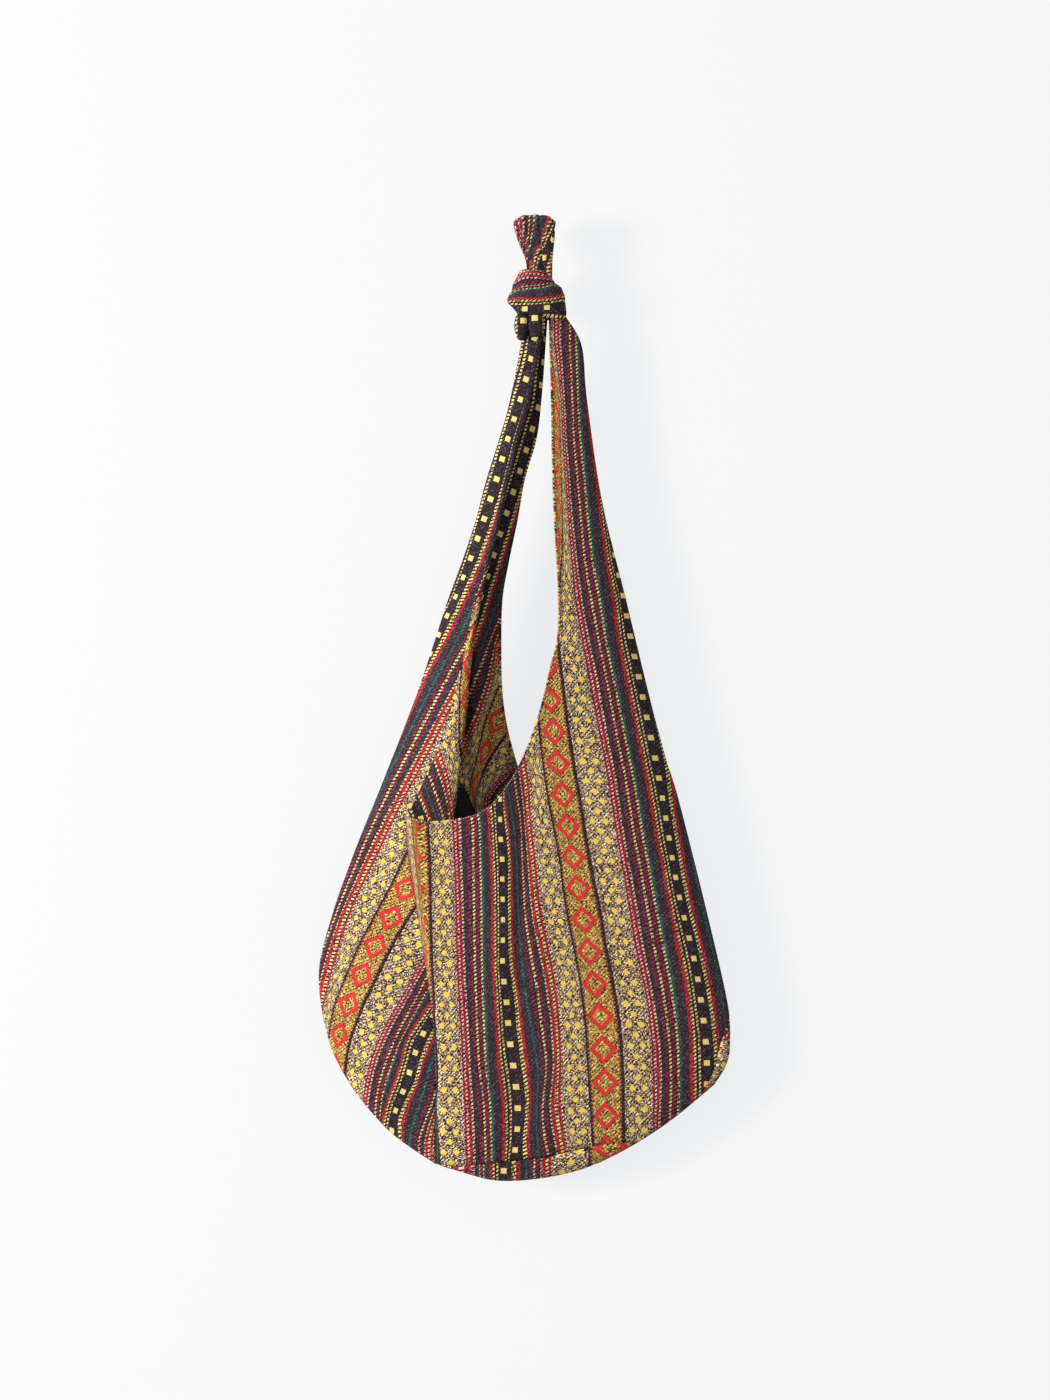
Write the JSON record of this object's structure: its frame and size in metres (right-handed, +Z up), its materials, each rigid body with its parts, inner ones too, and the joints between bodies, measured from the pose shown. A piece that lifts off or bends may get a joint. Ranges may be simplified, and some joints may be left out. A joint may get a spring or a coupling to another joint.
{
  "type": "crossbody bag",
  "caption": "Slouchy crossbody hobo bag of striped woven cotton with a knotted strap, hanging from the loop above its knot.",
  "frame": {"origin": "hanging point: the inside of the top bend of the strap's hanging loop, where a hook bears", "axes": "+Z up, along the hanging bag; -Y towards the front panel; +X to the right seen from the front"},
  "size_m": [0.391, 0.0714, 0.9179],
  "materials": {
    "striped_jacquard": "jacquard-woven cotton in dark, red, yellow, teal and beige stripes with diamonds and dots, matt",
    "black_lining": "plain-woven black cotton, matt"
  },
  "bodies": {
    "root": {"front_panel": "striped_jacquard", "back_panel": "striped_jacquard", "mouth_facing": "striped_jacquard", "knotted_strap": "striped_jacquard", "lining": "black_lining"}
  },
  "joints": []
}
